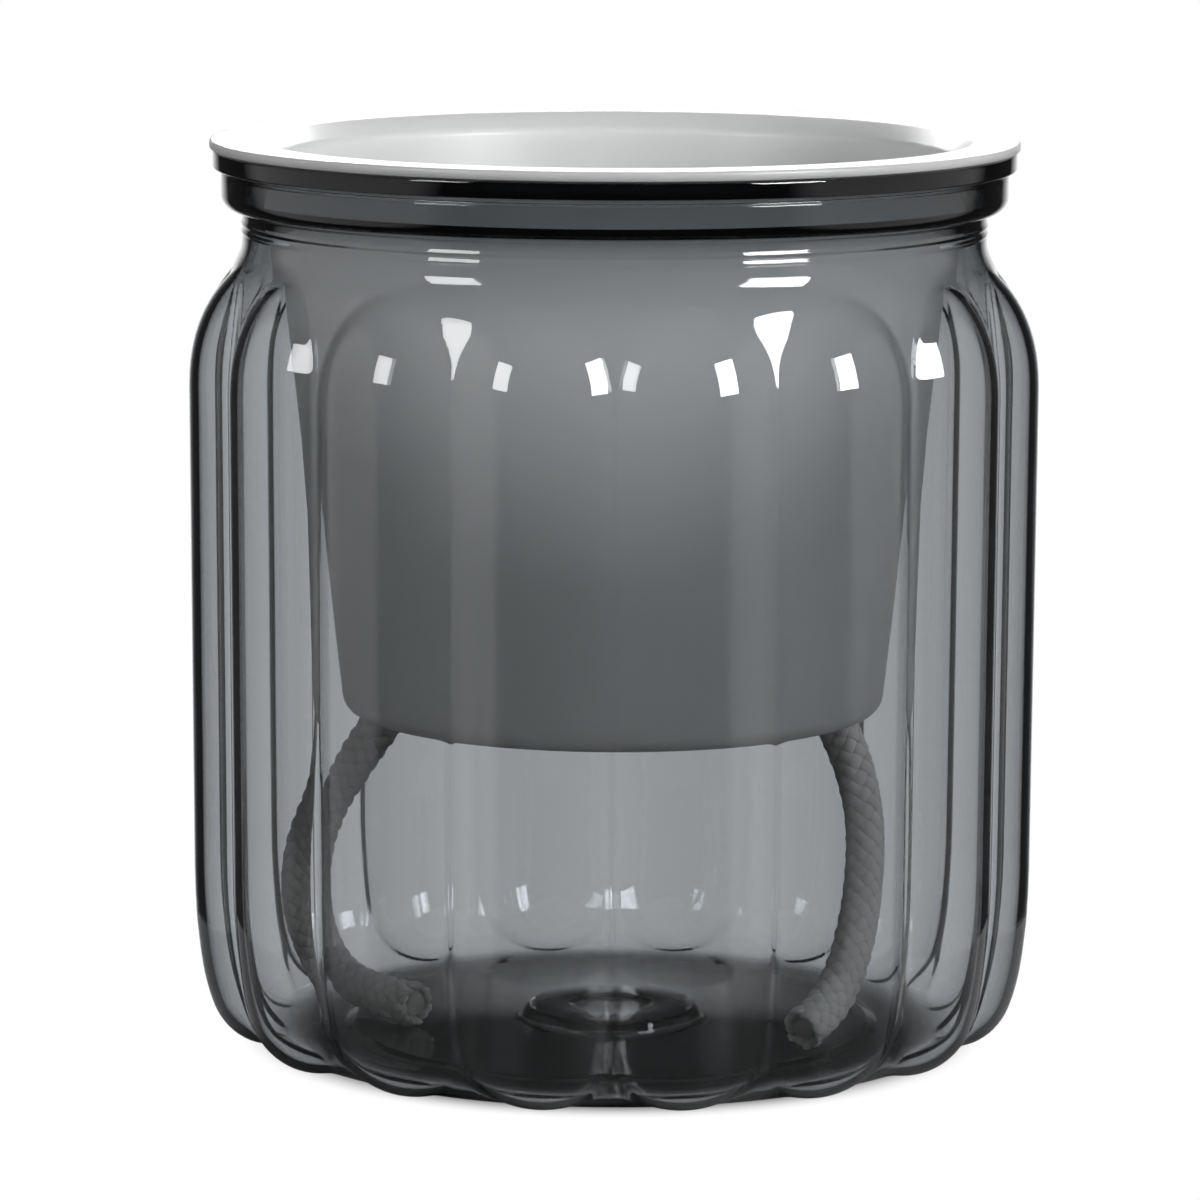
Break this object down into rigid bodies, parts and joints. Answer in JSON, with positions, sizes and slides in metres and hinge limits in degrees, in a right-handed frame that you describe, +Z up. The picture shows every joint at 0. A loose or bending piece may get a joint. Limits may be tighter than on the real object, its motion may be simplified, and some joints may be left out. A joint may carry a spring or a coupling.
{
  "type": "self-watering pot",
  "caption": "Fluted clear water jar with a white soil pot hung by its flange in the mouth and braided cotton wicks that reach down to the jar's floor.",
  "frame": {"origin": "middle of the jar's foot, on the surface the pot stands on", "axes": "+Z up along the jar's axis, -Y towards the viewer of the picture through the middle of a groove, +X to the viewer's right"},
  "size_m": [0.1132, 0.1132, 0.1217],
  "materials": {
    "smoke_clear_plastic": "clear, smoke grey, blown to a high gloss",
    "white_plastic": "opaque white, moulded, satin",
    "cotton_braid": "undyed cotton cord, braided"
  },
  "bodies": {
    "jar": {"outer_jar": "smoke_clear_plastic"},
    "pot": {"inner_pot": "white_plastic", "wick_left": "cotton_braid", "wick_right": "cotton_braid"}
  },
  "joints": [
    {"name": "pot_lift", "type": "slide", "parent": "jar", "child": "pot", "axis": [0, 0, 1], "range_m": [0, 0.125]}
  ]
}
